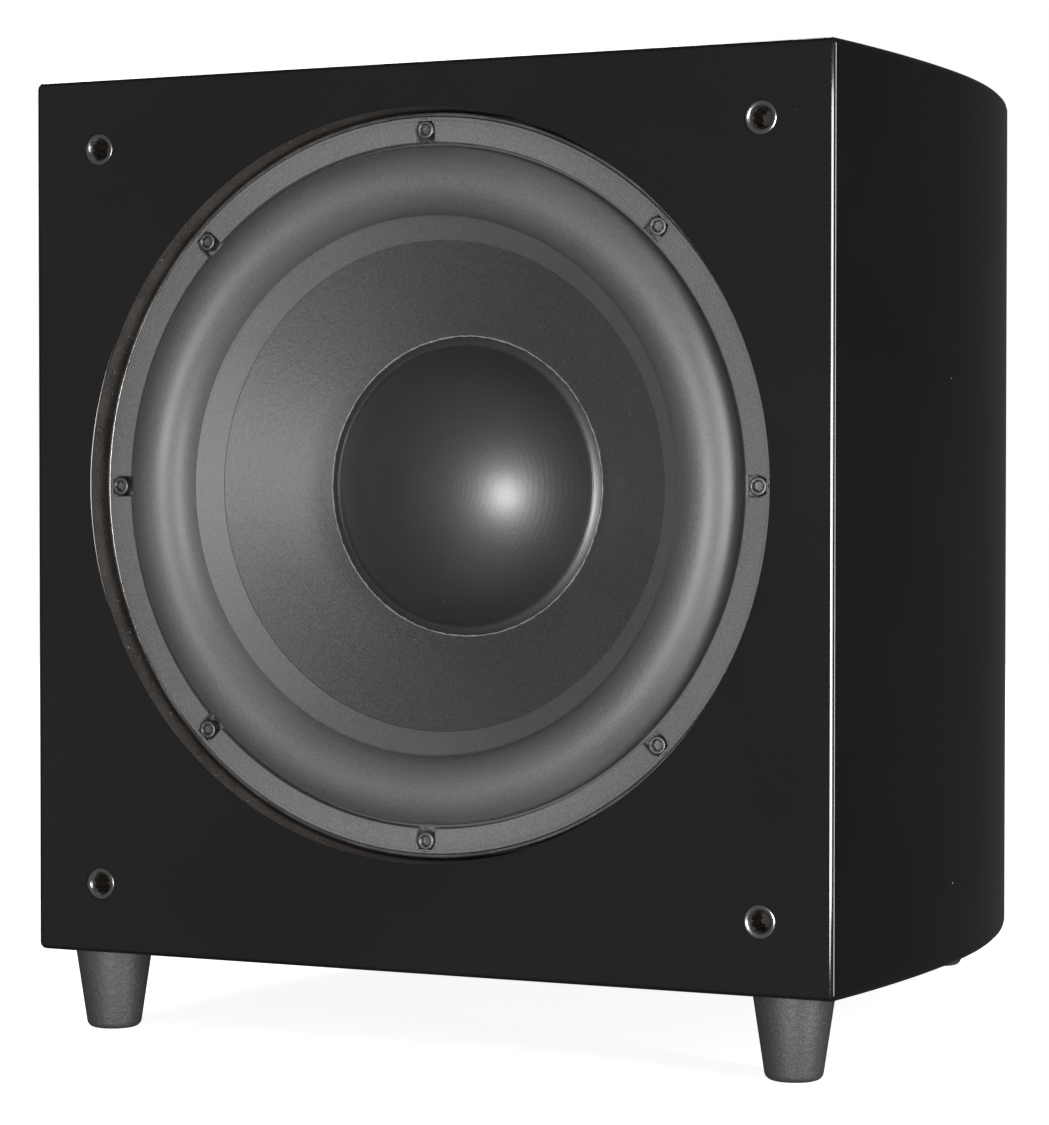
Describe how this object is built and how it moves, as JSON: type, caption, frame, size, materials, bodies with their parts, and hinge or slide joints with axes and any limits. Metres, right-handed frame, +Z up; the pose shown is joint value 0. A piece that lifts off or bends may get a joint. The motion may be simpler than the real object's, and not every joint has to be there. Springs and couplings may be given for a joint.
{
  "type": "subwoofer",
  "caption": "Powered subwoofer: bow-sided gloss black cabinet on tapered feet, recessed long-throw driver on the front, plate amplifier on the back.",
  "frame": {"origin": "on the floor, under the middle of the overall width and length", "axes": "+Z up, the driver faces -Y, +X to the right seen from the front"},
  "size_m": [0.3968, 0.4173, 0.423],
  "materials": {
    "cabinet_lacquer": "piano-black polyester lacquer on MDF, high gloss",
    "raw_mdf": "raw MDF, sealed",
    "wadding": "polyester damping wadding",
    "foot_rubber": "textured charcoal moulded rubber",
    "black_steel": "black oxide steel",
    "zinc_steel": "zinc plated",
    "socket_plastic": "black moulded plastic",
    "basket_paint": "black powder coat",
    "gasket_rubber": "matt grey-black rubber",
    "seal_foam": "closed-cell foam tape",
    "roll_rubber": "satin butyl rubber",
    "cone_poly": "mineral-filled polypropylene, satin",
    "cap_poly": "semi-gloss polypropylene",
    "former_foil": "aluminium foil former",
    "coil_copper": "enamelled copper wire",
    "spider_cloth": "impregnated cotton",
    "motor_steel": "black zinc plated steel",
    "ferrite": "sintered ferrite",
    "lead_pvc": "PVC insulated copper",
    "amp_paint": "black textured powder coat",
    "sink_black": "black anodised extrusion",
    "board_green": "glass-epoxy circuit board",
    "transformer_wrap": "polyester tape over windings",
    "capacitor_sleeve": "printed-free shrink sleeve",
    "knob_plastic": "satin black moulded plastic",
    "switch_chrome": "bright nickel",
    "jack_metal": "gold flashed brass",
    "jack_plastic": "black nylon",
    "post_red": "translucent red plastic",
    "post_black": "black plastic",
    "inlet_plastic": "black nylon",
    "pin_nickel": "nickel plated brass",
    "rocker_plastic": "black switch plastic",
    "lens_green": "green diffused lens"
  },
  "bodies": {
    "cabinet": {"front_baffle": "cabinet_lacquer", "top_panel": "cabinet_lacquer", "bottom_panel": "cabinet_lacquer", "left_side_panel": "cabinet_lacquer", "right_side_panel": "cabinet_lacquer", "back_panel": "cabinet_lacquer", "window_brace": "raw_mdf", "damping_foam": "wadding", "foot_front_left": "foot_rubber", "foot_front_right": "foot_rubber", "foot_rear_left": "foot_rubber", "foot_rear_right": "foot_rubber", "foot_screws": "zinc_steel", "grille_sockets": "socket_plastic", "driver_basket": "basket_paint", "basket_seal": "seal_foam", "front_gasket": "gasket_rubber", "top_plate": "motor_steel", "magnet": "ferrite", "pole_yoke": "motor_steel", "driver_screws": "black_steel", "driver_tee_nuts": "zinc_steel", "driver_terminals": "jack_plastic", "tinsel_leads": "coil_copper", "speaker_lead": "lead_pvc", "amp_plate": "amp_paint", "amp_plate_seal": "seal_foam", "amp_screws": "black_steel", "heat_sink": "sink_black", "amp_board": "board_green", "power_transformer": "transformer_wrap", "filter_capacitors": "capacitor_sleeve", "control_pots": "zinc_steel", "toggle_bodies": "switch_chrome", "line_jacks": "jack_metal", "line_jack_cores": "jack_plastic", "binding_posts": "jack_metal", "mains_inlet": "inlet_plastic", "inlet_pins": "pin_nickel", "rocker_frame": "rocker_plastic", "fuse_holder": "inlet_plastic", "status_lens": "lens_green"},
    "moving_cone": {"surround": "roll_rubber", "cone": "cone_poly", "dust_cap": "cap_poly", "voice_coil_former": "former_foil", "voice_coil": "coil_copper", "spider": "spider_cloth"},
    "volume_control": {"volume_shaft": "zinc_steel", "volume_knob": "knob_plastic"},
    "crossover_control": {"crossover_shaft": "zinc_steel", "crossover_knob": "knob_plastic"},
    "phase_lever": {"phase_toggle": "switch_chrome"},
    "power_mode_lever": {"power_mode_toggle": "switch_chrome"},
    "power_switch_rocker": {"power_rocker": "rocker_plastic"},
    "post_nut_1": {"post_nut_lower_a": "post_black"},
    "post_nut_2": {"post_nut_upper_a": "post_red"},
    "post_nut_3": {"post_nut_lower_b": "post_black"},
    "post_nut_4": {"post_nut_upper_b": "post_red"},
    "fuse_cap_turning": {"fuse_cap": "inlet_plastic"}
  },
  "joints": [
    {"name": "cone_travel", "type": "slide", "parent": "cabinet", "child": "moving_cone", "axis": [0, -1, 0], "range_m": [-0.012, 0.012], "stiffness_N_per_m": 5000, "deforming": ["surround", "spider", "tinsel_leads"]},
    {"name": "volume_turn", "type": "hinge", "parent": "cabinet", "child": "volume_control", "pos_m": [0.046, 0.1886, 0.3135], "axis": [0, 1, 0], "range_deg": [-150, 150]},
    {"name": "crossover_turn", "type": "hinge", "parent": "cabinet", "child": "crossover_control", "pos_m": [-0.046, 0.1886, 0.3135], "axis": [0, 1, 0], "range_deg": [-150, 150]},
    {"name": "phase_flip", "type": "hinge", "parent": "cabinet", "child": "phase_lever", "pos_m": [0.022, 0.1912, 0.2695], "axis": [1, 0, 0], "range_deg": [0, 24]},
    {"name": "power_mode_flip", "type": "hinge", "parent": "cabinet", "child": "power_mode_lever", "pos_m": [-0.022, 0.1912, 0.2695], "axis": [1, 0, 0], "range_deg": [-12, 12]},
    {"name": "power_rock", "type": "hinge", "parent": "cabinet", "child": "power_switch_rocker", "pos_m": [-0.008, 0.1901, 0.1095], "axis": [-1, 0, 0], "range_deg": [0, 16]},
    {"name": "post_nut_1_turn", "type": "hinge", "parent": "cabinet", "child": "post_nut_1", "pos_m": [0.0615, 0.1986, 0.242], "axis": [0, 1, 0], "continuous": true},
    {"name": "post_nut_2_turn", "type": "hinge", "parent": "cabinet", "child": "post_nut_2", "pos_m": [0.0615, 0.1986, 0.261], "axis": [0, 1, 0], "continuous": true},
    {"name": "post_nut_3_turn", "type": "hinge", "parent": "cabinet", "child": "post_nut_3", "pos_m": [0.0425, 0.1986, 0.242], "axis": [0, 1, 0], "continuous": true},
    {"name": "post_nut_4_turn", "type": "hinge", "parent": "cabinet", "child": "post_nut_4", "pos_m": [0.0425, 0.1986, 0.261], "axis": [0, 1, 0], "continuous": true},
    {"name": "fuse_cap_turn", "type": "hinge", "parent": "cabinet", "child": "fuse_cap_turning", "pos_m": [-0.058, 0.1936, 0.1095], "axis": [0, 1, 0], "range_deg": [0, 60]}
  ]
}
